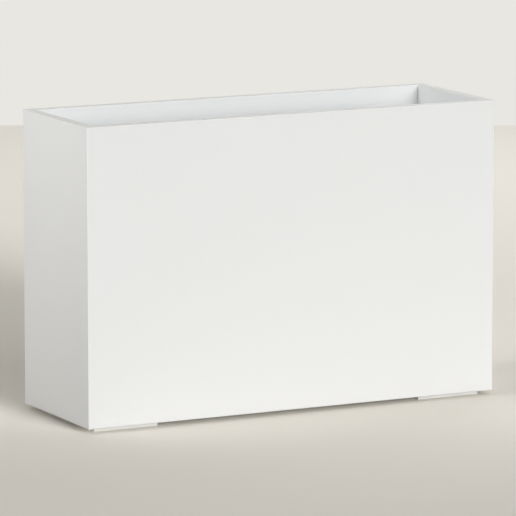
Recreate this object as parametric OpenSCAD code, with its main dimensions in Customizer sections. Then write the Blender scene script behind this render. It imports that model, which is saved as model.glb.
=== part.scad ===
// White box planter: four mitred boards round a floor that sits on ledgers, on four low foot pads.
// Millimetres. X runs along the length, Y from front to back and Z up from the ground, which the
// origin lies on, under the middle of the box.

/* [Overall size] */
// Length of the box, along X
length = 914; // [700:1:1200]
// Depth of the box from front to back, along Y
depth = 305; // [250:1:450]
// Height of the rim above the ground
height = 610; // [420:1:800]

/* [Boards] */
// Thickness of the four side boards
wall = 22; // [19:0.5:28]
// Radius that the boards' corners and rim are eased to
arris = 1.5; // [0.5:0.1:2.5]

/* [Mitre splines] */
// Thickness of the loose tongue in each corner's mitre
spline_t = 5; // [4:0.5:6]
// Width of a spline, across the mitre
spline_w = 14; // [10:0.5:15]
// How far below the rim a spline stops
spline_drop = 40; // [25:1:80]
// Clearance of a spline in its grooves, on each side
spline_fit = 0.1; // [0.05:0.05:0.2]

/* [Corner posts] */
// Width of the square posts in the corners
post = 38; // [32:1:45]
// How far below the rim the posts stop
post_drop = 75; // [50:1:120]

/* [Ledgers] */
// Thickness of the battens that carry the floor
ledger_t = 30; // [24:1:32]
// Height of those battens
ledger_h = 38; // [34:1:50]

/* [Floor] */
// Thickness of the floor panel
floor_t = 15; // [12:0.5:20]
// Gap left round the edge of the floor panel
floor_gap = 0.5; // [0.3:0.1:0.9]
// Leg of the sealant bead round the floor
bead = 7; // [4:0.5:10]

/* [Drains] */
// Bore of the drain holes
drain_d = 25; // [20:0.5:32]
// Distance from the inside of each end to the axis of the drain nearest to it
drain_inset = 145; // [100:1:180]
// Depth of the round seat that each plug's flange lies in
seat_deep = 2.5; // [1.5:0.5:4]
// Width of that seat beyond the drain hole, on each side
seat_lip = 6.5; // [5:0.5:9]

/* [Drain plugs] */
// Clearance of the plug's flange in its seat
flange_fit = 0.5; // [0.3:0.1:1]
// Clearance of the plug's sealing ribs in the drain hole
plug_fit = 0.15; // [0.1:0.05:0.3]
// Thickness of the flange
flange_t = 4; // [3:0.5:6]
// Height of the grip above the flange
grip_h = 15; // [12:0.5:20]
// Radius of the grip at its top
grip_r = 8.5; // [7:0.5:9.5]
// How far the plug reaches below the floor panel
plug_reach = 5; // [3:0.5:10]

/* [Foot pads] */
// Length of a foot pad, along X
foot_len = 140; // [110:1:180]
// Width of a foot pad, along Y
foot_wid = 64; // [56:1:80]
// Thickness of a foot pad, which is the height of the boards above the ground
foot_t = 10; // [8:0.5:20]

/* [Screws] */
// Outer diameter of every screw
screw_d = 4.5; // [4:0.5:5]
// Diameter of the countersunk heads
head_d = 9; // [8:0.5:10]
// Height of the countersunk heads
head_h = 2.8; // [2.4:0.1:3.2]
// How deep a level screw bites into a side board
side_bite = 12; // [9:0.5:14]
// How deep an upright screw bites into a post or a ledger
end_bite = 18; // [14:1:22]
// Radial clearance of a screw in its hole
screw_fit = 0.05; // [0.03:0.01:0.1]
// How far a foot pad's screw heads lie above the ground
foot_sink = 1.5; // [1:0.5:3]

/* [Hidden] */
$fn = 48;
cut = 1;                                   // how far a cutter runs past what it cuts
inner_len = length - 2 * wall;
inner_dep = depth - 2 * wall;
board_h = height - foot_t;
long_ledger = inner_len - 2 * post;
short_ledger = inner_dep - 2 * post;
floor_low = foot_t + ledger_h;
floor_top = floor_low + floor_t;
post_top = height - post_drop;
spline_top = height - spline_drop;
spline_mid = wall / 2 / sqrt(2);           // from the inner corner to a spline's middle, along X and Y
drain_x = [for (i = [-1:1]) i * (inner_len / 2 - drain_inset)];
seat_r = drain_d / 2 + seat_lip;
rib_r = drain_d / 2 - plug_fit;            // sealing ribs of a plug
core_r = rib_r - 0.8;                      // plug between its ribs
tip_r = core_r - 1.2;                      // plug's lower end
flange_r = seat_r - flange_fit;
plug_top = flange_t + grip_h;              // above the seat
rib_pitch = (floor_t - seat_deep) / 3;
rib_rise = rib_pitch / 4;                  // from a rib's edge down to the core, on each side
flange_ease = 1;                           // bevel of the flange's upper edge
waist_r = 0.65 * grip_r;                   // grip where it meets the flange
throat_h = 4;                              // height over which the waist widens to the grip's top
knob_r = 2;                                // rounding of the grip's top edge
bead_steps = 4;                            // facets of the sealant's hollow face
tip_len = 5;                               // point of a screw
tip_flat = 0.4;                            // radius left at that point
head_rim = 0.4;                            // straight edge of a screw's head
drill_over = 0.6;                          // how much deeper than its screw a hole is drilled
slot_w = 1.1;                              // cross recess of a screw's head
slot_deep = 1.7;
slot_len = head_d / 2;
post_screw_rows = 3;
post_screw_end = 55;                       // from the floor and from a post's top to its end screws
post_screw_step = 25;                      // between the two directions of a post's screws
side_screw_z = foot_t + ledger_h / 2;
// Middle stretch of a long ledger, between the foot pads. Its level screws and the floor's screws
// take turns along it, so none of them meet.
free_len = inner_len - 2 * foot_len;
ledger_screw_x = [for (i = [0:3]) free_len * (i / 4 - 3 / 8)];
floor_screw_x = [for (i = [0:4]) free_len * (i / 4 - 1 / 2)];

// ---- Places ----

// A screw's turn, which carries its point from straight down to the given side.
function to_x(side) = [0, -side * 90, 0];
function to_y(side) = [side * 90, 0, 0];
up = [180, 0, 0];
down = [0, 0, 0];

function post_screw_z(row) =
    floor_top + post_screw_end
    + row * (post_top - floor_top - 2 * post_screw_end - post_screw_step) / (post_screw_rows - 1);

post_sites = [
    for (sx = [-1, 1], sy = [-1, 1], row = [0:post_screw_rows - 1]) each [
        [[sx * (inner_len - post) / 2, sy * (inner_dep / 2 - post), post_screw_z(row)], to_y(sy)],
        [[sx * (inner_len / 2 - post), sy * (inner_dep - post) / 2, post_screw_z(row) + post_screw_step],
            to_x(sx)]
    ]
];
ledger_sites = [
    for (sy = [-1, 1], x = ledger_screw_x) [[x, sy * (inner_dep / 2 - ledger_t), side_screw_z], to_y(sy)],
    for (sx = [-1, 1], sy = [-1, 1])
        [[sx * (inner_len / 2 - ledger_t), sy * short_ledger / 4, side_screw_z], to_x(sx)]
];
floor_sites = [
    for (sy = [-1, 1], x = floor_screw_x) [[x, sy * (inner_dep - ledger_t) / 2, floor_top], down],
    for (sx = [-1, 1]) [[sx * (inner_len - ledger_t) / 2, 0, floor_top], down]
];
// Each foot pad is screwed to its post, twice to the long ledger and once to the short one.
foot_sites = [
    for (sx = [-1, 1], sy = [-1, 1]) each [
        [[sx * (inner_len - post) / 2, sy * (inner_dep - post) / 2, foot_sink], up],
        for (share = [0.3, 0.8])
            [[sx * (inner_len / 2 - post - share * (foot_len - post)), sy * (inner_dep - ledger_t) / 2,
                foot_sink], up],
        [[sx * (inner_len - ledger_t) / 2, sy * (inner_dep - post - foot_wid) / 2, foot_sink], up]
    ]
];

module at_sites(sites)
    for (site = sites)
        translate(site[0]) rotate(site[1]) children();

// ---- Screws ----

// A countersunk wood screw, point down, with the top of its head at the origin.
module screw(len) {
    difference() {
        rotate_extrude()
            polygon([
                [0, 0], [head_d / 2, 0], [head_d / 2, -head_rim], [screw_d / 2, -head_h],
                [screw_d / 2, tip_len - len], [tip_flat, -len], [0, -len]
            ]);
        for (turn = [0, 90])
            rotate(turn)
                translate([-slot_len / 2, -slot_w / 2, -slot_deep])
                    cube([slot_len, slot_w, slot_deep + cut]);
    }
}

// The countersunk hole of that screw. It is open above the head for the depth given.
module screw_hole(len, above = cut)
    rotate_extrude()
        polygon([
            [0, above], [head_d / 2 + screw_fit, above], [head_d / 2 + screw_fit, -head_rim],
            [screw_d / 2 + screw_fit, -head_h], [screw_d / 2 + screw_fit, -len - drill_over],
            [0, -len - drill_over]
        ]);

post_screw_len = post + side_bite;
ledger_screw_len = ledger_t + side_bite;
floor_screw_len = floor_t + end_bite;
foot_screw_len = foot_t - foot_sink + end_bite;

module post_screw_holes() at_sites(post_sites) screw_hole(post_screw_len);
module ledger_screw_holes() at_sites(ledger_sites) screw_hole(ledger_screw_len);
module floor_screw_holes() at_sites(floor_sites) screw_hole(floor_screw_len);
module foot_screw_holes() at_sites(foot_sites) screw_hole(foot_screw_len, foot_sink + cut);

module post_screws() color("silver") at_sites(post_sites) screw(post_screw_len);
module ledger_screws() color("silver") at_sites(ledger_sites) screw(ledger_screw_len);
module floor_screws() color("silver") at_sites(floor_sites) screw(floor_screw_len);
module foot_screws() color("silver") at_sites(foot_sites) screw(foot_screw_len);

// ---- Side boards ----

// A rectangle from its lower left corner, with all four corners rounded.
module eased_rect(wide, high, r) {
    translate([r, 0]) square([wide - 2 * r, high]);
    translate([0, r]) square([wide, high - 2 * r]);
    for (x = [r, wide - r], y = [r, high - r])
        translate([x, y]) circle(r);
}

// The plan of one board of the given length, seen from above, with its outer face on the X axis
// and its ends mitred to 45 degrees.
module mitred_plan(len)
    polygon([[-len / 2, 0], [len / 2, 0], [len / 2 - wall, wall], [wall - len / 2, wall]]);

// The whole box in plan, with its four outer corners eased.
module box_plan() translate([-length / 2, -depth / 2]) eased_rect(length, depth, arris);

// A spline's groove, or with no clearance the spline, in the corner on the given sides.
module spline_body(sx, sy, fit) {
    along = spline_top - foot_t;
    translate([sx * (inner_len / 2 + spline_mid), sy * (inner_dep / 2 + spline_mid), foot_t])
        rotate(-sx * sy * 45)
            translate([-spline_w / 2 - fit, -spline_t / 2 - fit, fit > 0 ? -cut : 0])
                cube([spline_w + 2 * fit, spline_t + 2 * fit, along + (fit > 0 ? fit + cut : 0)]);
}

module spline_grooves()
    for (sx = [-1, 1], sy = [-1, 1])
        spline_body(sx, sy, spline_fit);

module board_cuts() {
    spline_grooves();
    post_screw_holes();
    ledger_screw_holes();
}

// Front or back board: its profile runs along X.
module long_board(side) color("whitesmoke")
    difference() {
        intersection() {
            rotate([90, 0, 90])
                linear_extrude(length, center = true)
                    translate([side > 0 ? depth / 2 - wall : -depth / 2, foot_t])
                        eased_rect(wall, board_h, arris);
            linear_extrude(height + cut)
                intersection() {
                    box_plan();
                    rotate(side > 0 ? 180 : 0) translate([0, -depth / 2]) mitred_plan(length);
                }
        }
        board_cuts();
    }

// Left or right board: its profile runs along Y.
module short_board(side) color("whitesmoke")
    difference() {
        intersection() {
            rotate([90, 0, 0])
                linear_extrude(depth, center = true)
                    translate([side > 0 ? length / 2 - wall : -length / 2, foot_t])
                        eased_rect(wall, board_h, arris);
            linear_extrude(height + cut)
                intersection() {
                    box_plan();
                    rotate(side * 90) translate([0, -length / 2]) mitred_plan(depth);
                }
        }
        board_cuts();
    }

module spline(sx, sy) color("burlywood") spline_body(sx, sy, 0);

// ---- Posts and ledgers ----

module corner_post(sx, sy) color("white")
    difference() {
        translate([sx * (inner_len - post) / 2, sy * (inner_dep - post) / 2, foot_t])
            linear_extrude(post_top - foot_t) square(post, center = true);
        post_screw_holes();
        foot_screw_holes();
    }

module ledger_cuts() {
    ledger_screw_holes();
    floor_screw_holes();
    foot_screw_holes();
}

module long_ledger(side) color("white")
    difference() {
        translate([-long_ledger / 2, side > 0 ? inner_dep / 2 - ledger_t : -inner_dep / 2, foot_t])
            cube([long_ledger, ledger_t, ledger_h]);
        ledger_cuts();
    }

module short_ledger(side) color("white")
    difference() {
        translate([side > 0 ? inner_len / 2 - ledger_t : -inner_len / 2, -short_ledger / 2, foot_t])
            cube([ledger_t, short_ledger, ledger_h]);
        ledger_cuts();
    }

// ---- Floor ----

// The box's inside, less its four corner posts, drawn in by the given amount all round.
function inside(by) =
    let (a = inner_len / 2 - by, b = inner_dep / 2 - by, c = a - post, d = b - post)
    [
        [a, d], [c, d], [c, b], [-c, b], [-c, d], [-a, d],
        [-a, -d], [-c, -d], [-c, -b], [c, -b], [c, -d], [a, -d]
    ];

module drain_cut(x)
    translate([x, 0, floor_top]) {
        translate([0, 0, -floor_t - cut]) cylinder(h = floor_t + 2 * cut, d = drain_d);
        translate([0, 0, -seat_deep]) cylinder(h = seat_deep + cut, r = seat_r);
    }

module floor_panel() color("white")
    difference() {
        translate([0, 0, floor_low]) linear_extrude(floor_t) polygon(inside(floor_gap));
        for (x = drain_x)
            drain_cut(x);
        floor_screw_holes();
    }

// The bead's section, as pairs of a distance in from the boards and a height above the floor. Its
// face is a hollow quarter round, as a wetted finger leaves it.
bead_arc = [for (a = [0:90 / bead_steps:90]) bead * [1 - sin(a), 1 - cos(a)]];
bead_section = concat([[0, 0]], bead_arc);

module floor_sealant() color("ghostwhite") {
    sides = len(inside(0));
    ring = len(bead_section);
    points = [
        for (s = bead_section, p = inside(s[0])) [p[0], p[1], floor_top + s[1]]
    ];
    faces = [
        for (i = [0:ring - 1], k = [0:sides - 1])
            let (j = (i + 1) % ring, m = (k + 1) % sides)
            [i * sides + k, i * sides + m, j * sides + m, j * sides + k]
    ];
    polyhedron(points, faces);
}

// ---- Drain plugs ----

// A rubber plug, turned from one profile: grip, flange in its seat, and ribbed stem in the drain.
module drain_plug(x) color("dimgray")
    translate([x, 0, floor_top - seat_deep])
        rotate_extrude()
            polygon(concat(
                [[0, -floor_t + seat_deep - plug_reach], [tip_r, -floor_t + seat_deep - plug_reach]],
                [for (i = [2:-1:1]) each [
                    [core_r, -i * rib_pitch - rib_rise], [rib_r, -i * rib_pitch],
                    [core_r, -i * rib_pitch + rib_rise]
                ]],
                [[core_r, 0], [flange_r, 0], [flange_r, flange_t - flange_ease],
                    [flange_r - flange_ease, flange_t], [waist_r, flange_t]],
                [for (a = [0:15:90])
                    [waist_r + (grip_r - waist_r) * sin(a), plug_top - throat_h * (1 + cos(a)) / 2]],
                [for (a = [15:15:90])
                    [grip_r - knob_r * (1 - cos(a)), plug_top - knob_r * (1 - sin(a))]],
                [[0, plug_top]]
            ));

// ---- Feet ----

// A pad lines up with the inner faces of its two boards, so it stands in from the box's sides.
module foot(sx, sy) color("white")
    difference() {
        translate([sx > 0 ? inner_len / 2 - foot_len : -inner_len / 2,
                sy > 0 ? inner_dep / 2 - foot_wid : -inner_dep / 2, 0])
            linear_extrude(foot_t) eased_rect(foot_len, foot_wid, arris);
        foot_screw_holes();
    }

long_board(-1);  // board_front
long_board(1);  // board_back
short_board(-1);  // board_left
short_board(1);  // board_right
spline(-1, -1);  // spline_front_left
spline(1, -1);  // spline_front_right
spline(-1, 1);  // spline_back_left
spline(1, 1);  // spline_back_right
corner_post(-1, -1);  // post_front_left
corner_post(1, -1);  // post_front_right
corner_post(-1, 1);  // post_back_left
corner_post(1, 1);  // post_back_right
long_ledger(-1);  // ledger_front
long_ledger(1);  // ledger_back
short_ledger(-1);  // ledger_left
short_ledger(1);  // ledger_right
floor_panel();
floor_sealant();
foot(-1, -1);  // foot_front_left
foot(1, -1);  // foot_front_right
foot(-1, 1);  // foot_back_left
foot(1, 1);  // foot_back_right
drain_plug(drain_x[0]);  // drain_plug_left
drain_plug(drain_x[1]);  // drain_plug_centre
drain_plug(drain_x[2]);  // drain_plug_right
post_screws();
ledger_screws();
floor_screws();
foot_screws();
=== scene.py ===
# %% [markdown]
# # A white box planter
#
# A long box of white cellular PVC boards, mitred at its corners, stands on four low pads. Inside it, a
# floor panel lies on ledgers, with a bead of sealant round its edge and a rubber plug in each drain.
#
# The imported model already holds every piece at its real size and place, so this lesson is about
# looks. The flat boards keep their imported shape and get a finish. The screws, the plugs and the
# sealant are made again, because threads, moulded rubber and a hand-tooled bead have more shape than
# a working drawing gives them.

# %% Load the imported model
import math

import bmesh
import bpy
from mathutils import Matrix, Vector, noise


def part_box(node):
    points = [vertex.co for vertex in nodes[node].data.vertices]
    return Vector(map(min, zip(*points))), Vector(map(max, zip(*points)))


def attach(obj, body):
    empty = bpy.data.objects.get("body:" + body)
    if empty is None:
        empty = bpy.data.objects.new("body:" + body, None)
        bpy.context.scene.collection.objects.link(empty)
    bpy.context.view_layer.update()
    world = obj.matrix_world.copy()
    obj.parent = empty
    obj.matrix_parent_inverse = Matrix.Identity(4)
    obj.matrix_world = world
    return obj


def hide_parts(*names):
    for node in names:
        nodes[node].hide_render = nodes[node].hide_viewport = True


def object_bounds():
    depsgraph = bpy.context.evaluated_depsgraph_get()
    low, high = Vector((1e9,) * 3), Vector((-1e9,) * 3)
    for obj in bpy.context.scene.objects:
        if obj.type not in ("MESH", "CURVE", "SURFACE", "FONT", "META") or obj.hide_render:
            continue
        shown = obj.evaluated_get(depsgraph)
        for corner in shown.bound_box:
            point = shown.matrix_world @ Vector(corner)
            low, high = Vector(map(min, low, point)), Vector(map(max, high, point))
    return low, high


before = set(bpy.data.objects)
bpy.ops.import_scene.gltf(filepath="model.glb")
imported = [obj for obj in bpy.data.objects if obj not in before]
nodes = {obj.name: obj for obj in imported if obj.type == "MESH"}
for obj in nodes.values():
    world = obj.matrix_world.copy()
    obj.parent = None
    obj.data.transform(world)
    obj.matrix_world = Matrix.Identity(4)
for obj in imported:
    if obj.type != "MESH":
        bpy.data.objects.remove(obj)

cad_low, cad_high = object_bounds()
MM = 0.001
print("pieces in the packed model:", len(nodes))
print("size in mm:", [round(side / MM) for side in cad_high - cad_low])

# %% [markdown]
# ## Colours and nodes
#
# A colour picked from a swatch is an sRGB hex value, but Blender mixes light in linear values, so one
# function turns the first into the second. A material is a small tree of nodes. Adding a node, setting
# its options and linking its inputs is always the same three steps, so one function does them all.

# %% Helpers for colours and nodes
def linear(hex_colour):
    """The linear RGBA of an sRGB colour such as "#f0efec"."""
    shares = [int(hex_colour[i:i + 2], 16) / 255 for i in (1, 3, 5)]
    return (*(c / 12.92 if c <= 0.04045 else ((c + 0.055) / 1.055) ** 2.4 for c in shares), 1.0)


def add_node(tree, kind, inputs={}, **settings):
    """Adds a node. An input is a value, or the output of another node that is then linked to it."""
    node = tree.nodes.new(kind)
    for name, value in settings.items():
        setattr(node, name, value)
    for socket, value in inputs.items():
        if isinstance(value, bpy.types.NodeSocket):
            tree.links.new(value, node.inputs[socket])
        else:
            node.inputs[socket].default_value = value
    return node


def new_material(name):
    """A material with an empty tree, and that tree."""
    material = bpy.data.materials.new(name)
    material.use_nodes = True
    material.node_tree.nodes.clear()
    return material, material.node_tree


print("mid grey in linear light:", [round(c, 3) for c in linear("#808080")[:3]])

# %% [markdown]
# ## Cellular PVC sheet
#
# White cellular PVC is a foamed plastic board with the pigment all the way through, so it isn't
# painted. Its rolled faces have a closed satin skin with a faint orange peel. A saw cuts through the
# foam, so the cut edges are duller and show fine cells.
#
# One material does both. The direction that a face looks in tells a rolled face from a cut edge: on
# the upright boards only the cut edges look up or down, and on the floor panel it is the other way
# round. The four boards meet in mitres, and a point lies in a mitre where it is as far from the long
# side of the box as from the short one. There the glue line draws a hair of shade.

# %% Sizes in the sheet, and its mitres
PEEL = 2.5 * MM        # from one bump of the orange peel to the next
CELL = 0.9 * MM        # real cells are about 0.2 mm, too fine to show, so they are drawn coarser
CLOUD = 180 * MM       # slow drift of the whiteness along a sheet
SHEET_RELIEF = 0.02 * MM    # height of the peel and of the cells
SAWN_ROUGHER = 0.26    # what the saw adds to the roughness of a rolled face
PLASTIC_IOR = 1.53     # PVC and polyethylene are alike in this
GLUE_LINE = 0.3 * MM   # half the width of the shade along a mitre, drawn wider than the real line
GLUE_SHADE = 0.35      # how far that shade takes the board's white towards the glue's colour
GLUE_COLOUR = "#b9b8b4"
CUT_LOOKS_UP = {"From Min": 0.7, "From Max": 0.98}      # how steeply a board's cut edge looks up
CUT_LOOKS_ASIDE = {"From Min": 0.3, "From Max": 0.02}   # and how little the floor panel's does


def mitre_line(tree, place):
    """1 along the box's mitres and 0 away from them."""
    axes = add_node(tree, "ShaderNodeSeparateXYZ", {0: place.outputs["Object"]})
    along = add_node(tree, "ShaderNodeMath", {0: axes.outputs["X"]}, operation="ABSOLUTE")
    across = add_node(tree, "ShaderNodeMath", {0: axes.outputs["Y"]}, operation="ABSOLUTE")
    apart = add_node(
        tree, "ShaderNodeMath", {0: along.outputs[0], 1: across.outputs[0]}, operation="SUBTRACT")
    off = add_node(
        tree, "ShaderNodeMath", {0: apart.outputs[0], 1: cad_high.x - cad_high.y}, operation="SUBTRACT")
    gap = add_node(tree, "ShaderNodeMath", {0: off.outputs[0]}, operation="ABSOLUTE")
    return add_node(tree, "ShaderNodeMapRange", {
        "Value": gap.outputs[0], "From Min": GLUE_LINE / 3, "From Max": GLUE_LINE,
        "To Min": 1.0, "To Max": 0.0}).outputs[0]


print("shade along a mitre:", round(2 * GLUE_LINE / MM, 1), "mm wide")


# %% The sheet, with or without mitres
def cellular_pvc(name, skins, sawn, gloss, cut_edge, mitred=False):
    """White sheet. Skins are the two colours that a rolled face drifts between, sawn that of a cut edge."""
    material, tree = new_material(name)
    place = add_node(tree, "ShaderNodeTexCoord")
    facing = add_node(tree, "ShaderNodeSeparateXYZ", {0: place.outputs["Normal"]})
    upright = add_node(tree, "ShaderNodeMath", {0: facing.outputs["Z"]}, operation="ABSOLUTE")
    cut = add_node(tree, "ShaderNodeMapRange", {"Value": upright.outputs[0], **cut_edge}).outputs[0]
    drift = add_node(tree, "ShaderNodeTexNoise", {
        "Vector": place.outputs["Object"], "Scale": 1 / CLOUD, "Detail": 1.0})
    peel = add_node(tree, "ShaderNodeTexNoise", {
        "Vector": place.outputs["Object"], "Scale": 1 / PEEL, "Detail": 1.0})
    cells = add_node(tree, "ShaderNodeTexVoronoi", {
        "Vector": place.outputs["Object"], "Scale": 1 / CELL})
    skin = add_node(tree, "ShaderNodeMix", {
        "Factor": drift.outputs["Fac"], "A": linear(skins[0]), "B": linear(skins[1])}, data_type="RGBA")
    colour = add_node(tree, "ShaderNodeMix", {
        "Factor": cut, "A": skin.outputs["Result"], "B": linear(sawn)}, data_type="RGBA").outputs["Result"]
    relief = add_node(tree, "ShaderNodeMix", {
        "Factor": cut, "A": peel.outputs["Fac"], "B": cells.outputs["Distance"]}).outputs[0]
    if mitred:
        line = mitre_line(tree, place)
        shade = add_node(tree, "ShaderNodeMath", {0: line, 1: GLUE_SHADE}, operation="MULTIPLY")
        colour = add_node(tree, "ShaderNodeMix", {
            "Factor": shade.outputs[0], "A": colour, "B": linear(GLUE_COLOUR)},
            data_type="RGBA").outputs["Result"]
        relief = add_node(tree, "ShaderNodeMath", {0: relief, 1: line}, operation="SUBTRACT").outputs[0]
    roughness = add_node(tree, "ShaderNodeMapRange", {
        "Value": cut, "To Min": gloss, "To Max": gloss + SAWN_ROUGHER}).outputs[0]
    bump = add_node(tree, "ShaderNodeBump", {"Height": relief, "Strength": 1.0, "Distance": SHEET_RELIEF})
    shader = add_node(tree, "ShaderNodeBsdfPrincipled", {
        "Base Color": colour, "Roughness": roughness, "IOR": PLASTIC_IOR, "Normal": bump.outputs[0]})
    add_node(tree, "ShaderNodeOutputMaterial", {"Surface": shader.outputs[0]})
    return material


board_white = cellular_pvc(
    "cellular_pvc_board", ("#f2f3f4", "#f1f2f2"), "#ebebe9", 0.42, CUT_LOOKS_UP, mitred=True)
panel_white = cellular_pvc(
    "cellular_pvc_floor_panel", ("#efefee", "#ebecea"), "#e6e6e3", 0.48, CUT_LOOKS_ASIDE)
print("made", board_white.name, "and", panel_white.name)

# %% [markdown]
# ## Extruded battens, splines and cut pads
#
# The posts and the ledgers are cellular PVC too, but they are pushed through a die, which draws fine
# lines along their length. The splines are solid rigid PVC from a narrower die, so they are glossier
# and a little greyer. The pads are polyethylene, cut from plate with a saw, whose teeth leave
# upright strokes on their sides.
#
# All three are lines in one direction, which is the same noise squeezed across the lines and
# stretched along them. A Mapping node does that with one scale for each axis.

# %% Plastic with lines along it
DIE_LINE = 1.2 * MM    # between two lines of a die
SAW_LINE = 0.8 * MM    # between two strokes of a saw
RUN = 250 * MM         # how far one line keeps its strength
DIE_RELIEF = 0.03 * MM
SPLINE_RELIEF = 0.01 * MM
SAW_RELIEF = 0.03 * MM
LINE_GLOSS = (-0.05, 0.08)  # what a line takes from the roughness, and what the next one adds
ALONG_X, ALONG_Y, ALONG_Z = range(3)


def lined_plastic(name, colours, spacing, along, roughness, height):
    """Plastic with fine lines along one of the three axes."""
    material, tree = new_material(name)
    place = add_node(tree, "ShaderNodeTexCoord")
    stretch = [1 / RUN if axis == along else 1 / spacing for axis in range(3)]
    squeeze = add_node(tree, "ShaderNodeMapping", {"Vector": place.outputs["Object"], "Scale": stretch})
    lines = add_node(tree, "ShaderNodeTexNoise", {"Vector": squeeze.outputs[0], "Scale": 1.0, "Detail": 2.0})
    cloud = add_node(tree, "ShaderNodeTexNoise", {
        "Vector": place.outputs["Object"], "Scale": 1 / CLOUD, "Detail": 2.0})
    both = add_node(
        tree, "ShaderNodeMath", {0: lines.outputs["Fac"], 1: cloud.outputs["Fac"]}, operation="MULTIPLY")
    colour = add_node(tree, "ShaderNodeMix", {
        "Factor": both.outputs[0], "A": linear(colours[0]), "B": linear(colours[1])}, data_type="RGBA")
    gloss = add_node(tree, "ShaderNodeMapRange", {
        "Value": lines.outputs["Fac"], "To Min": roughness + LINE_GLOSS[0],
        "To Max": roughness + LINE_GLOSS[1]})
    bump = add_node(tree, "ShaderNodeBump", {
        "Height": lines.outputs["Fac"], "Strength": 1.0, "Distance": height})
    shader = add_node(tree, "ShaderNodeBsdfPrincipled", {
        "Base Color": colour.outputs["Result"], "Roughness": gloss.outputs[0], "IOR": PLASTIC_IOR,
        "Normal": bump.outputs[0]})
    add_node(tree, "ShaderNodeOutputMaterial", {"Surface": shader.outputs[0]})
    return material


print("mm from line to line:", round(DIE_LINE / MM, 1), "of a die,", round(SAW_LINE / MM, 1), "of a saw")

# %% The battens, the splines and the pads
BATTEN = ("#f1f2f1", "#e9eae8")
BATTEN_ROUGHNESS = 0.46
post_white = lined_plastic(
    "extruded_pvc_post", BATTEN, DIE_LINE, ALONG_Z, BATTEN_ROUGHNESS, DIE_RELIEF)
long_ledger_white = lined_plastic(
    "extruded_pvc_long_ledger", BATTEN, DIE_LINE, ALONG_X, BATTEN_ROUGHNESS, DIE_RELIEF)
short_ledger_white = lined_plastic(
    "extruded_pvc_short_ledger", BATTEN, DIE_LINE, ALONG_Y, BATTEN_ROUGHNESS, DIE_RELIEF)
spline_grey = lined_plastic(
    "rigid_pvc_spline", ("#dcdcd8", "#d2d2cd"), DIE_LINE / 2, ALONG_Z, 0.35, SPLINE_RELIEF)
pad_white = lined_plastic(
    "sawn_polyethylene_pad", ("#fafaf9", "#f7f7f5"), SAW_LINE, ALONG_Z, 0.5, SAW_RELIEF)
battens = (post_white, long_ledger_white, short_ledger_white)
print("made", [material.name for material in battens], "and", spline_grey.name, "and", pad_white.name)

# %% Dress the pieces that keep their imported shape
def dress(prefixes, material):
    """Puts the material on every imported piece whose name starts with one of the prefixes."""
    found = [name for name in nodes if name.startswith(prefixes)]
    for name in found:
        for slot in nodes[name].material_slots:
            slot.material = material
    print(material.name, "on", found)


dress("board_", board_white)
dress("floor_panel", panel_white)
dress("spline_", spline_grey)
dress(("post_front", "post_back"), post_white)
dress(("ledger_front", "ledger_back"), long_ledger_white)
dress(("ledger_left", "ledger_right"), short_ledger_white)
dress(("foot_front", "foot_back"), pad_white)

# %% [markdown]
# ## Turning a shape
#
# A screw's core and a rubber plug are both round about an axis. Blender's spin turns a flat profile
# into such a shape. The profile is a chain of points, each with the size of the rounding that its
# corner gets. A vertex bevel rounds the chain before it is spun, so the roundings run all the way
# round. The seam closes with use_merge, and the points on the axis are merged by distance.

# %% Helpers that turn a profile and make an object
SAME_POINT = MM / 1000      # points nearer to each other than this are merged
ROUNDING_STEPS = 3          # flats in a rounded corner


def turned(profile, steps):
    """A surface of revolution about Z. The profile is a list of (radius, height, rounding)."""
    made = bmesh.new()
    verts = [made.verts.new((radius, 0, height)) for radius, height, _ in profile]
    for pair in zip(verts, verts[1:]):
        made.edges.new(pair)
    for vert, (_, _, rounding) in zip(verts, profile):
        if rounding:
            bmesh.ops.bevel(
                made, geom=[vert], offset=rounding, offset_type="OFFSET", segments=ROUNDING_STEPS,
                profile=0.5, affect="VERTICES", material=-1, clamp_overlap=True)
    bmesh.ops.spin(
        made, geom=made.verts[:] + made.edges[:], cent=(0, 0, 0), axis=(0, 0, 1), dvec=(0, 0, 0),
        angle=math.tau, steps=steps, use_merge=True)
    bmesh.ops.remove_doubles(made, verts=made.verts, dist=SAME_POINT)
    return made


def finished(name, made, material, sharp):
    """Turns a bmesh into an object at the origin, with its faces outward and its sharp edges kept."""
    bmesh.ops.recalc_face_normals(made, faces=made.faces)
    mesh = bpy.data.meshes.new(name)
    made.to_mesh(mesh)
    made.free()
    mesh.shade_smooth()
    mesh.set_sharp_from_angle(angle=math.radians(sharp))
    mesh.materials.append(material)
    piece = bpy.data.objects.new(name, mesh)
    bpy.context.scene.collection.objects.link(piece)
    return piece


print("points within", round(SAME_POINT / MM, 4), "mm are merged")

# %% [markdown]
# ## Stainless steel
#
# The screws are stainless steel, cold-headed from wire, rolled and then tumbled clean. That leaves a
# soft satin with tiny marks, and no colour of its own but a warm grey. A metal's base colour is the
# share of the light that it reflects.

# %% Tumbled stainless steel
GRIT = 0.35 * MM       # tumbling marks
MARK_DEPTH = 0.01 * MM
STEEL_ROUGHNESS = {"To Min": 0.24, "To Max": 0.42}


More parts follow.
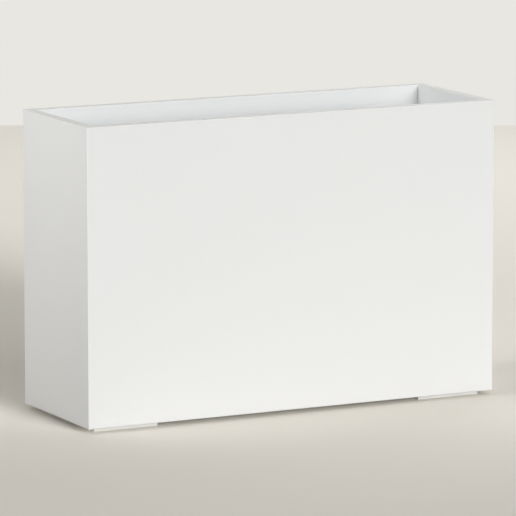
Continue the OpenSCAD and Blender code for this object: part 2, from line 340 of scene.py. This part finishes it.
def tumbled_steel():
    """Soft satin steel with tiny marks."""
    material, tree = new_material("tumbled_stainless_steel")
    place = add_node(tree, "ShaderNodeTexCoord")
    marks = add_node(tree, "ShaderNodeTexNoise", {
        "Vector": place.outputs["Object"], "Scale": 1 / GRIT, "Detail": 3.0})
    colour = add_node(tree, "ShaderNodeMix", {
        "Factor": marks.outputs["Fac"], "A": linear("#c6c3bd"), "B": linear("#b2afa9")}, data_type="RGBA")
    gloss = add_node(tree, "ShaderNodeMapRange", {"Value": marks.outputs["Fac"], **STEEL_ROUGHNESS})
    bump = add_node(tree, "ShaderNodeBump", {
        "Height": marks.outputs["Fac"], "Strength": 1.0, "Distance": MARK_DEPTH})
    shader = add_node(tree, "ShaderNodeBsdfPrincipled", {
        "Base Color": colour.outputs["Result"], "Roughness": gloss.outputs[0], "Metallic": 1.0,
        "Normal": bump.outputs[0]})
    add_node(tree, "ShaderNodeOutputMaterial", {"Surface": shader.outputs[0]})
    return material


screw_steel = tumbled_steel()
print("made", screw_steel.name)

# %% [markdown]
# ## One wood screw
#
# A real wood screw is a turned core with a rolled thread and a cross recess pressed into its head.
# Cutting the recess with a boolean would leave ragged faces, so the head starts without a top. Its rim
# is extruded, and each new point is drawn in along its own radius to the outline of a cross, which
# makes the flat of the head. That loop is then pushed down and drawn in to make the recess.
#
# The thread is a small triangle, spun with a drop at each step. Its start fades in, and at the tip it
# follows the core to a point.

# %% Sizes of a screw
HEAD_RADIUS = 4.5 * MM
HEAD_EASE = 0.1 * MM        # chamfer round the top of the head
HEAD_EDGE = 0.4 * MM        # bottom of the head's straight side
HEAD_HEIGHT = 2.8 * MM
NECK_ROUNDING = 0.4 * MM    # between the head and the shank
SHANK_RADIUS = 1.65 * MM    # plain part under the head
SHANK_STEP = 0.5 * MM       # length of the slope from the shank to the core
CORE_RADIUS = 1.45 * MM
THREAD_RADIUS = 2.2 * MM
THREAD_SHARE = 0.66         # how much of the length is threaded
THREAD_FOOT = 0.45 * MM     # half the width of the ridge where it leaves the core
SUNK = 0.15 * MM            # how deep the ridge's foot lies in the core
PITCH = 2.2 * MM
TIP = 5 * MM
TIP_RADIUS = 0.25 * MM
TIP_BLUNT = 0.1 * MM        # length of the blunt end
THREAD_STOP = TIP / 4       # how far from the point the thread ends
RECESS_REACH = 2.3 * MM     # from the middle to the end of an arm
RECESS_WIDTH = 1.2 * MM
RECESS_DEPTH = 1.7 * MM
RECESS_FLOOR = 0.62         # size of the recess's floor as a share of its mouth
ARM_MIDDLE = 0.01           # least slope between a point and its arm, so that nothing is divided by 0
HEAD_STEPS = 48             # round the head
THREAD_STEPS = 16           # round one turn of the thread
print("head", round(2 * HEAD_RADIUS / MM, 1), "mm across, thread", round(2 * THREAD_RADIUS / MM, 1), "mm")


# %% The core and the recess
def screw_core(length):
    """Head without a top, shank, core and tip."""
    shank_end = length * (1 - THREAD_SHARE)
    return turned([
        (HEAD_RADIUS - HEAD_EASE, 0, 0),
        (HEAD_RADIUS, -HEAD_EASE, 0),
        (HEAD_RADIUS, -HEAD_EDGE, 0),
        (SHANK_RADIUS, -HEAD_HEIGHT, NECK_ROUNDING),
        (SHANK_RADIUS, -shank_end, 0),
        (CORE_RADIUS, -shank_end - SHANK_STEP, 0),
        (CORE_RADIUS, TIP - length, 0),
        (TIP_RADIUS, -length + TIP_BLUNT, 0),
        (0, -length, 0)], HEAD_STEPS)


def extruded(made, edges):
    """Extrudes a loop of edges in place. Returns the new loop's edges and its points."""
    new = bmesh.ops.extrude_edge_only(made, edges=edges)["geom"]
    loop = [item for item in new if isinstance(item, bmesh.types.BMEdge) and item.is_boundary]
    return loop, [item for item in new if isinstance(item, bmesh.types.BMVert)]


def press_recess(screw):
    """Closes the head's open top with a flat that holds a tapered cross recess."""
    lip, cross = extruded(screw, [edge for edge in screw.edges if edge.is_boundary])
    for vert in cross:
        from_arm = (math.atan2(vert.co.y, vert.co.x) + math.pi / 4) % (math.pi / 2) - math.pi / 4
        reach = min(RECESS_REACH, RECESS_WIDTH / 2 / max(abs(math.sin(from_arm)), ARM_MIDDLE))
        vert.co.xy *= reach / vert.co.xy.length
    floor_edge, bottom = extruded(screw, lip)
    bmesh.ops.scale(screw, verts=bottom, vec=(RECESS_FLOOR, RECESS_FLOOR, 1))
    bmesh.ops.translate(screw, verts=bottom, vec=(0, 0, -RECESS_DEPTH))
    bmesh.ops.contextual_create(screw, geom=floor_edge)


print("recess", round(2 * RECESS_REACH / MM, 1), "mm across and", round(RECESS_DEPTH / MM, 1), "mm deep")


# %% The thread
def core_at(depth, length):
    """The core's radius at a depth below the top of the head."""
    left = max(0.0, length - depth)
    return min(CORE_RADIUS, TIP_RADIUS + (CORE_RADIUS - TIP_RADIUS) * left / TIP)


def wind_thread(screw, length):
    """A right-handed ridge round the core, from the shank to the tip."""
    start = length * (1 - THREAD_SHARE)
    turns = (length - start - THREAD_STOP) / PITCH
    before = len(screw.verts)
    corners = [screw.verts.new((radius, 0, rise - start)) for radius, rise in (
        (CORE_RADIUS - SUNK, THREAD_FOOT), (THREAD_RADIUS, 0), (CORE_RADIUS - SUNK, -THREAD_FOOT))]
    sides = [screw.edges.new((corners[i - 1], corners[i])) for i in range(3)]
    bmesh.ops.spin(
        screw, geom=corners + sides, cent=(0, 0, 0), axis=(0, 0, -1), dvec=(0, 0, -PITCH / THREAD_STEPS),
        angle=turns * math.tau, steps=round(turns * THREAD_STEPS), use_merge=False)
    bmesh.ops.holes_fill(screw, edges=[edge for edge in screw.edges if edge.is_boundary], sides=3)
    screw.verts.ensure_lookup_table()
    for vert in screw.verts[before:]:
        depth, radius = -vert.co.z, vert.co.xy.length
        fade = max(0.0, min(1.0, (depth - start) / PITCH, (length - depth) / PITCH))
        stands = (radius - CORE_RADIUS) * (fade if radius > CORE_RADIUS else 1)
        vert.co.xy *= (core_at(depth, length) + stands) / radius


def wood_screw(length):
    """A screw of that length, point down, with the middle of its head's top at the origin."""
    screw = screw_core(length)
    press_recess(screw)
    wind_thread(screw, length)
    bmesh.ops.recalc_face_normals(screw, faces=screw.faces)
    mesh = bpy.data.meshes.new("one_screw")
    screw.to_mesh(mesh)
    open_edges = sum(edge.is_boundary for edge in screw.edges)
    print("screw of", round(length / MM, 1), "mm: faces", len(screw.faces), "open edges", open_edges)
    screw.free()
    return mesh


# %% [markdown]
# ## Every screw in its hole
#
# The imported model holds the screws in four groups. Each separate solid in a group is one screw: its
# longest side says which way it points, and its widest points lie at its head. So the places and the
# lengths are read from there. Nobody lines up the recesses of real screws, so each head gets its own
# turn, from a noise value at its place, which comes out the same each time.

# %% Find the screws of a group
def solids_of(node):
    """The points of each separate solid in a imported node."""
    merged = bmesh.new()
    merged.from_mesh(nodes[node].data)
    bmesh.ops.remove_doubles(merged, verts=merged.verts, dist=SAME_POINT)
    seen, solids = set(), []
    for first in merged.verts:
        if first in seen:
            continue
        seen.add(first)
        solid = [first]
        for vert in solid:
            for edge in vert.link_edges:
                other = edge.other_vert(vert)
                if other not in seen:
                    seen.add(other)
                    solid.append(other)
        solids.append([vert.co.copy() for vert in solid])
    merged.free()
    return solids


post_screw_solids = solids_of("post_screws")
print("solids in the group of post screws:", len(post_screw_solids))

# %% The place and the length of one screw
TURN_SPREAD = 17 * MM       # heads this far apart are turned quite differently
FLANK = (HEAD_RADIUS + THREAD_RADIUS) / 2   # only the head reaches further than this from the axis


def screw_place(points):
    """A matrix that puts a screw's head where this solid has its own, and the screw's length."""
    low = Vector([min(point[axis] for point in points) for axis in range(3)])
    high = Vector([max(point[axis] for point in points) for axis in range(3)])
    middle, sides = (low + high) / 2, high - low
    long_axis = max(range(3), key=lambda axis: sides[axis])
    out = Vector([float(axis == long_axis) for axis in range(3)])
    wide = [point for point in points if (point - middle).cross(out).length > FLANK]
    if sum((point - middle).dot(out) for point in wide) < 0:
        out = -out
    head = middle + out * sides[long_axis] / 2
    turn = Matrix.Rotation(math.pi * noise.noise(head / TURN_SPREAD), 4, "Z")
    aim = out.to_track_quat("Z", "Y").to_matrix().to_4x4()
    return Matrix.Translation(head) @ aim @ turn, sides[long_axis]


print("length of the first post screw in mm:", round(screw_place(post_screw_solids[0])[1] / MM, 1))


# %% Put a new screw in each place
def drive_screws(node):
    """One piece with a detailed screw for each solid of a packed group."""
    group = bmesh.new()
    patterns = {}
    for points in solids_of(node):
        place, length = screw_place(points)
        size = round(length / MM, 1)
        if size not in patterns:
            patterns[size] = wood_screw(size * MM)
        before = len(group.verts)
        group.from_mesh(patterns[size])
        group.verts.ensure_lookup_table()
        bmesh.ops.transform(group, matrix=place, verts=group.verts[before:])
    piece = finished(node + "_threaded", group, screw_steel, sharp=30)
    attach(piece, "planter_box")
    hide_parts(node)
    for mesh in patterns.values():
        bpy.data.meshes.remove(mesh)
    print(node, "of", sorted(patterns), "mm, faces:", len(piece.data.polygons))


for group_name in ("post_screws", "ledger_screws", "floor_screws", "foot_screws"):
    drive_screws(group_name)

# %% [markdown]
# ## Rubber drain plugs
#
# Each plug is EPDM rubber, moulded in one piece: a stem with two sealing ribs, a flange that lies in
# a seat in the floor, and a waisted grip with a scalloped knob. The stem is hollow from below, so that
# it gives. Moulded rubber has no sharp edge anywhere, so every corner of the profile is rounded.
#
# The scallops aren't round about the axis, so they come after the spin: the points of the knob are
# drawn in by a wave round it, most at half its height.
#
# EPDM comes out of the mould a matt charcoal, with the mould's fine grain and a little pale bloom.

# %% Moulded rubber
MOULD_GRAIN = 0.5 * MM      # a spark-eroded mould's is near 0.1 mm, which wouldn't show
GRAIN_DEPTH = 0.06 * MM
BLOOM = 14 * MM             # patches of bloom
RUBBER_ROUGHNESS = {"To Min": 0.5, "To Max": 0.78}
RUBBER_IOR = 1.52


def moulded_rubber():
    """Matt charcoal rubber with a fine grain and pale bloom."""
    material, tree = new_material("moulded_epdm_rubber")
    place = add_node(tree, "ShaderNodeTexCoord")
    bloom = add_node(tree, "ShaderNodeTexNoise", {
        "Vector": place.outputs["Object"], "Scale": 1 / BLOOM, "Detail": 3.0})
    grain = add_node(tree, "ShaderNodeTexNoise", {
        "Vector": place.outputs["Object"], "Scale": 1 / MOULD_GRAIN, "Detail": 2.0})
    colour = add_node(tree, "ShaderNodeMix", {
        "Factor": bloom.outputs["Fac"], "A": linear("#313234"), "B": linear("#434446")}, data_type="RGBA")
    gloss = add_node(tree, "ShaderNodeMapRange", {"Value": bloom.outputs["Fac"], **RUBBER_ROUGHNESS})
    bump = add_node(tree, "ShaderNodeBump", {
        "Height": grain.outputs["Fac"], "Strength": 1.0, "Distance": GRAIN_DEPTH})
    shader = add_node(tree, "ShaderNodeBsdfPrincipled", {
        "Base Color": colour.outputs["Result"], "Roughness": gloss.outputs[0], "IOR": RUBBER_IOR,
        "Normal": bump.outputs[0]})
    add_node(tree, "ShaderNodeOutputMaterial", {"Surface": shader.outputs[0]})
    return material


plug_rubber = moulded_rubber()
print("made", plug_rubber.name)

# %% Sizes of a plug
PLUG_STEPS = 72
SCALLOPS = 9
SCALLOP_DEPTH = 0.13        # as a share of the knob's radius
RIB = 0.8 * MM              # how far a sealing rib stands out
RIB_HALF = 1.0 * MM         # half the rib's width at its foot
RIBS_IN_STEM = 4.2          # the stem's length over the distance between the ribs
STEM_LEAD = 1.2 * MM        # how much narrower the stem's lower end is, to find the hole
WALL = 2.05 * MM            # of the hollow stem, at its bottom
HOLLOW_ROOF = -4 * MM       # below the flange
HOLLOW_DRAFT = 0.8 * MM     # how much narrower the hollow is at its roof
FLANGE = 4 * MM             # thickness of the flange
FLANGE_SLOPE = 1 * MM       # chamfer round its top
WAIST_RADIUS = 5.5 * MM
KNOB_RADIUS = 8.5 * MM
KNOB_HEIGHT = 4.2 * MM
KNOB_SLOPE = 4.3 * MM       # height of the slope from the waist to the knob
DISH = 0.7 * MM             # depth of the dish on top
DISH_RIM = 2.9 * MM         # from the knob's side to the edge of the dish
DISH_FLOOR = 3.5 * MM       # from the knob's side to the flat of the dish
ON_EDGE = 0.1 * MM          # a packed point this near the flange's radius is on its edge
UNDER_SEAT = 1 * MM         # a packed point further below the seat than this is on the stem
print("knob", round(2 * KNOB_RADIUS / MM, 1), "mm across, with", SCALLOPS, "scallops")


# %% The profile of a plug
def plug_profile(flange_radius, stem_radius, bottom, top):
    """From the roof of the hollow, round the outside and back to the axis on top of the grip."""
    core = stem_radius - RIB
    tip = core - STEM_LEAD
    ribs = []
    for count in (2, 1):
        height = count * bottom / RIBS_IN_STEM
        ribs += [(core, height - RIB_HALF, 0.4 * MM), (stem_radius, height, 0.35 * MM),
                 (core, height + RIB_HALF, 0.4 * MM)]
    return [
        (0, HOLLOW_ROOF, 0),
        (tip - WALL - HOLLOW_DRAFT, HOLLOW_ROOF, 1.5 * MM),
        (tip - WALL, bottom, 0.3 * MM),
        (tip, bottom, 0.4 * MM),
        *ribs,
        (core, 0, 0.3 * MM),
        (flange_radius, 0, 0.3 * MM),
        (flange_radius, FLANGE - FLANGE_SLOPE, 0.4 * MM),
        (flange_radius - FLANGE_SLOPE, FLANGE, 0.4 * MM),
        (WAIST_RADIUS, FLANGE, 1.2 * MM),
        (WAIST_RADIUS, top - KNOB_HEIGHT - KNOB_SLOPE, 2.5 * MM),
        (KNOB_RADIUS, top - KNOB_HEIGHT, 1.2 * MM),
        (KNOB_RADIUS, top, 1.6 * MM),
        (KNOB_RADIUS - DISH_RIM, top, 0.5 * MM),
        (KNOB_RADIUS - DISH_FLOOR, top - DISH, 0.5 * MM),
        (0, top - DISH, 0)]


print("each sealing rib stands out", round(RIB / MM, 1), "mm")


# %% Turn each plug and scallop its knob
def drain_plug(node, body):
    """The rubber plug that stands for a packed one."""
    low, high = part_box(node)
    axis = Vector(((low.x + high.x) / 2, (low.y + high.y) / 2, 0))
    flange_radius = (high.x - low.x) / 2
    points = [vert.co - axis for vert in nodes[node].data.vertices]
    seat = min(point.z for point in points if point.xy.length > flange_radius - ON_EDGE)
    stem_radius = max(point.xy.length for point in points if point.z < seat - UNDER_SEAT)
    top = high.z - seat
    plug = turned(plug_profile(flange_radius, stem_radius, low.z - seat, top), PLUG_STEPS)
    for vert in plug.verts:
        up = 1 - (top - vert.co.z) / (KNOB_HEIGHT + KNOB_SLOPE / 2)
        if 0 < up < 1:
            wave = 0.5 + 0.5 * math.cos(SCALLOPS * math.atan2(vert.co.y, vert.co.x))
            vert.co.xy *= 1 - SCALLOP_DEPTH * wave * math.sin(math.pi * up)
    bmesh.ops.translate(plug, verts=plug.verts, vec=axis + Vector((0, 0, seat)))
    open_edges = sum(edge.is_boundary for edge in plug.edges)
    piece = finished(node + "_moulded", plug, plug_rubber, sharp=60)
    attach(piece, body)
    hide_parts(node)
    print(piece.name, "stem", round(2 * stem_radius / MM, 1), "mm across, open edges", open_edges)


for where in ("left", "centre", "right"):
    drain_plug("drain_plug_" + where, where + "_drain_plug")

# %% [markdown]
# ## The sealant bead
#
# A bead of white silicone closes the gap round the floor panel. It is gunned in and then drawn along
# with a wetted finger, which leaves a hollow, glossy face, faint waves where the finger moved on and
# an edge that wanders a little.
#
# The bead runs round twelve corners, in and out past the posts. An inset with even offset turns every
# corner at its true mitre, so the bead's rows are one face inset again and again, each row lower than
# the last, on a hollow quarter round. The middle face is then deleted, and the back and the underside
# close the ring. Cuts across the bead give it enough points for the waves.

# %% White silicone
SMEAR = 9 * MM              # from one smear of the finger to the next
SMEAR_DEPTH = 0.05 * MM
SILICONE_ROUGHNESS = {"To Min": 0.2, "To Max": 0.38}
SILICONE_IOR = 1.41


def tooled_silicone():
    """White silicone with the smears of a wetted finger."""
    material, tree = new_material("tooled_white_silicone")
    place = add_node(tree, "ShaderNodeTexCoord")
    smear = add_node(tree, "ShaderNodeTexNoise", {
        "Vector": place.outputs["Object"], "Scale": 1 / SMEAR, "Detail": 2.0})
    colour = add_node(tree, "ShaderNodeMix", {
        "Factor": smear.outputs["Fac"], "A": linear("#f3f3f1"), "B": linear("#ebebe8")}, data_type="RGBA")
    gloss = add_node(tree, "ShaderNodeMapRange", {"Value": smear.outputs["Fac"], **SILICONE_ROUGHNESS})
    bump = add_node(tree, "ShaderNodeBump", {
        "Height": smear.outputs["Fac"], "Strength": 1.0, "Distance": SMEAR_DEPTH})
    shader = add_node(tree, "ShaderNodeBsdfPrincipled", {
        "Base Color": colour.outputs["Result"], "Roughness": gloss.outputs[0], "IOR": SILICONE_IOR,
        "Normal": bump.outputs[0]})
    add_node(tree, "ShaderNodeOutputMaterial", {"Surface": shader.outputs[0]})
    return material


silicone_white = tooled_silicone()
print("made", silicone_white.name)

# %% The bead's course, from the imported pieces
bead_low, bead_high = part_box("floor_sealant")
post_low, post_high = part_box("post_front_left")
bead_leg = bead_high.z - bead_low.z                      # up the wall, and out over the floor
end, side = bead_high.x, bead_high.y                     # the inside of the boards
post_end = end - (post_high.x - post_low.x)              # the faces of the corner posts
post_side = side - (post_high.y - post_low.y)
floor_size = [round(2 * reach / MM) for reach in (end, side)]
print("bead of", round(bead_leg / MM, 1), "mm round a floor of", floor_size, "mm")

# %% Inset the bead's rows and close the ring
BEAD_ROWS = 6               # rows of faces across the hollow


def bead_ring():
    """The bead as a closed ring, before its waves."""
    ring = bmesh.new()
    quarter = [(end, post_side), (post_end, post_side), (post_end, side)]
    half = quarter + [(-x, y) for x, y in reversed(quarter)]
    outline = half + [(-x, -y) for x, y in half]
    middle = ring.faces.new([ring.verts.new((x, y, bead_high.z)) for x, y in outline])
    middle.normal_update()
    turns = [math.pi / 2 * (1 - row / BEAD_ROWS) for row in range(BEAD_ROWS + 1)]
    for above, below in zip(turns, turns[1:]):
        bmesh.ops.inset_region(
            ring, faces=[middle], thickness=bead_leg * (math.sin(above) - math.sin(below)),
            use_boundary=True, use_even_offset=True)
        drop = bead_leg * (math.cos(above) - math.cos(below))
        bmesh.ops.translate(ring, verts=middle.verts[:], vec=(0, 0, drop))
    inner = list(middle.edges)
    bmesh.ops.delete(ring, geom=[middle], context="FACES_ONLY")
    outer = [edge for edge in ring.edges if edge.is_boundary and edge not in inner]
    foot_loop, foot = extruded(ring, outer)
    bmesh.ops.translate(ring, verts=foot, vec=(0, 0, -bead_leg))
    bmesh.ops.bridge_loops(ring, edges=foot_loop + inner)
    return ring


bead = bead_ring()
print("faces of the plain ring:", len(bead.faces))


# %% Cut the bead into short lengths and tool it
BEAD_STEP = 7 * MM          # between two cuts across the bead
FINGER = 16 * MM            # between two waves
WAVE = 0.14                 # how much a wave lowers the bead, as a share of its height
WANDER = 0.5 * MM           # how far the edge on the floor strays
noise.seed_set(3)           # noise vectors start from the clock unless they are given a seed
ON_WALL = 0.001             # a point nearer to the wall than this share of the bead stays put


def from_wall(vert):
    """How far a point of the bead lies from the wall or the post that it follows."""
    x, y = abs(vert.co.x), abs(vert.co.y)
    return min(end - x, side - y, max(post_end - x, post_side - y))


def cut_across(ring, axis, reach):
    """Cuts the ring with planes across one axis, a step apart."""
    cuts = round(2 * reach / BEAD_STEP)
    for cut in range(1, cuts):
        place = Vector((0, 0, 0))
        place[axis] = -reach + 2 * reach * cut / cuts
        bmesh.ops.bisect_plane(
            ring, geom=ring.verts[:] + ring.edges[:] + ring.faces[:], plane_co=place,
            plane_no=[float(index == axis) for index in range(3)])


def tool(ring):
    """Waves along the bead, and a wandering edge on the floor. The wall side stays where it is."""
    for vert in ring.verts:
        share = from_wall(vert) / bead_leg
        if share > ON_WALL:
            dent = 0.5 + 0.5 * noise.noise(vert.co / FINGER)
            stray = noise.noise_vector(vert.co / (2 * FINGER)) * WANDER * share
            vert.co.z = bead_low.z + (vert.co.z - bead_low.z) * (1 - WAVE * dent)
            vert.co.xy += stray.xy


cut_across(bead, 0, end)
cut_across(bead, 1, side)
tool(bead)
print("bead faces:", len(bead.faces), "open edges:", sum(edge.is_boundary for edge in bead.edges))
sealant_bead = finished("floor_sealant_tooled", bead, silicone_white, sharp=50)
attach(sealant_bead, "planter_box")
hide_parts("floor_sealant")

# %% [markdown]
# ## Floor, light and camera
#
# The studio is a pale matt floor with a pale backdrop. Only the camera, and mirrors such as the steel,
# see the backdrop at its full colour. The floor is see-through from below, so a look at the underside
# isn't blocked.
#
# The light comes from large far panels, which give a long white board one even tone. A low one in front
# sets the tone of the front and reaches under the box. Two high ones, in front and on the left, light
# the floor and reach into the box's corners. A soft box high at the back lights the back and the
# inside, and one with a grid grazes the left end, so that it darkens towards the ground. A faint glow
# from the room's walls keeps the shadows open.

# %% The camera's place, which the floor is turned to
CAMERA_YAW = math.radians(26.95)
CAMERA_PITCH = math.radians(9.385)
CAMERA_PLACE = (-4.3188, -8.4839, 1.8696)
print("camera turned", round(math.degrees(CAMERA_YAW), 2), "degrees to the right")

# %% Floor
FLOOR_SIDE = 8.3
MOTTLE = 0.5                # patches in the paint
PAINT_ROUGHNESS = 0.4


def matt_floor_paint():
    """Pale matt paint, see-through from behind."""
    material, tree = new_material("matt_floor_paint")
    place = add_node(tree, "ShaderNodeTexCoord")
    mottle = add_node(tree, "ShaderNodeTexNoise", {
        "Vector": place.outputs["Object"], "Scale": 1 / MOTTLE, "Detail": 2.0})
    colour = add_node(tree, "ShaderNodeMix", {
        "Factor": mottle.outputs["Fac"], "A": linear("#f2eee5"), "B": linear("#f0ece3")}, data_type="RGBA")
    paint = add_node(tree, "ShaderNodeBsdfDiffuse", {
        "Color": colour.outputs["Result"], "Roughness": PAINT_ROUGHNESS})
    clear = add_node(tree, "ShaderNodeBsdfTransparent")
    facing = add_node(tree, "ShaderNodeNewGeometry")
    both = add_node(tree, "ShaderNodeMixShader", {
        "Fac": facing.outputs["Backfacing"], 1: paint.outputs[0], 2: clear.outputs[0]})
    add_node(tree, "ShaderNodeOutputMaterial", {"Surface": both.outputs[0]})
    return material


slab = bmesh.new()
bmesh.ops.create_grid(slab, x_segments=1, y_segments=1, size=FLOOR_SIDE / 2)
bmesh.ops.rotate(slab, verts=slab.verts, matrix=Matrix.Rotation(-CAMERA_YAW, 3, "Z"))
floor_mesh = bpy.data.meshes.new("studio_floor")
slab.to_mesh(floor_mesh)
slab.free()
floor_mesh.materials.append(matt_floor_paint())
studio_floor = bpy.data.objects.new("studio_floor", floor_mesh)
bpy.context.scene.collection.objects.link(studio_floor)
print("floor", FLOOR_SIDE, "m square")

# %% Room light
BACKDROP = linear("#e8e7e1")
ROOM_GLOW = 0.1             # strength of the even light from the room's walls


def room_light():
    """A world that glows faintly on the scene and shows the backdrop to the camera and to mirrors."""
    world = bpy.data.worlds.new("room")
    world.use_nodes = True
    tree = world.node_tree
    tree.nodes.clear()
    glow = add_node(tree, "ShaderNodeBackground", {"Color": BACKDROP, "Strength": ROOM_GLOW})
    backdrop = add_node(tree, "ShaderNodeBackground", {"Color": BACKDROP, "Strength": 1.0})
    ray = add_node(tree, "ShaderNodeLightPath")
    mirrored = add_node(tree, "ShaderNodeMath", {
        0: ray.outputs["Is Glossy Ray"], 1: ray.outputs["Is Transmission Ray"]}, operation="MAXIMUM")
    seen = add_node(tree, "ShaderNodeMath", {
        0: ray.outputs["Is Camera Ray"], 1: mirrored.outputs[0]}, operation="MAXIMUM")
    shown = add_node(tree, "ShaderNodeMixShader", {
        "Fac": seen.outputs[0], 1: glow.outputs[0], 2: backdrop.outputs[0]})
    add_node(tree, "ShaderNodeOutputWorld", {"Surface": shown.outputs[0]})
    return world


bpy.context.scene.world = room_light()
print("room glow of", ROOM_GLOW)

# %% Far and near lamps
BOX_MIDDLE = Vector((0, 0, 0.3))
PANEL_DISTANCE = 5          # the light of a far panel is the same from any distance


def lamp(kind, name, place, aim, power, **settings):
    """A lamp of that kind at a place, pointed at another place."""
    data = bpy.data.lights.new(name, kind)
    data.energy = power
    for setting, value in settings.items():
        setattr(data, setting, value)
    made = bpy.data.objects.new(name, data)
    bpy.context.scene.collection.objects.link(made)
    made.location = place
    made.rotation_euler = (Vector(place) - Vector(aim)).to_track_quat("Z", "Y").to_euler()
    print(name, "of", power)


def far_panel(name, right_of_front, height, width, power):
    """A panel too far off to fade with distance. The first three are angles, in degrees."""
    azimuth, elevation = math.radians(right_of_front), math.radians(height)
    toward = Vector((
        math.sin(azimuth) * math.cos(elevation), -math.cos(azimuth) * math.cos(elevation),
        math.sin(elevation)))
    place = BOX_MIDDLE + PANEL_DISTANCE * toward
    lamp("SUN", name, place, BOX_MIDDLE, power, angle=math.radians(width))


far_panel("low_front_panel", 8, 12, 18, 1.6)
far_panel("high_front_panel", 0, 43, 40, 0.61)
far_panel("high_left_panel", -90, 43, 40, 0.4)
lamp("AREA", "high_back_soft_box", (2.49, 2.49, 3.26), BOX_MIDDLE, 64.0, shape="SQUARE", size=2.4)
lamp("AREA", "left_gridded_box", (-4.0, 0.25, 1.2), (-0.457, 0, 0.85), 3.1,
     shape="SQUARE", size=0.9, spread=math.radians(36))

# %% Camera
FOCAL_LENGTH = 331.7        # in mm, as the sensor's width is
SENSOR_WIDTH = 36
FURTHEST = 60               # nothing past this many metres is drawn

lens = bpy.data.cameras.new("camera")
lens.lens = FOCAL_LENGTH
lens.sensor_width = SENSOR_WIDTH
lens.clip_end = FURTHEST
camera = bpy.data.objects.new("camera", lens)
bpy.context.scene.collection.objects.link(camera)
camera.location = CAMERA_PLACE
camera.rotation_euler = (math.radians(90) - CAMERA_PITCH, 0, -CAMERA_YAW)
bpy.context.scene.camera = camera
bpy.context.scene.view_settings.view_transform = "Standard"
print("camera", round(camera.location.length, 2), "m from the planter")
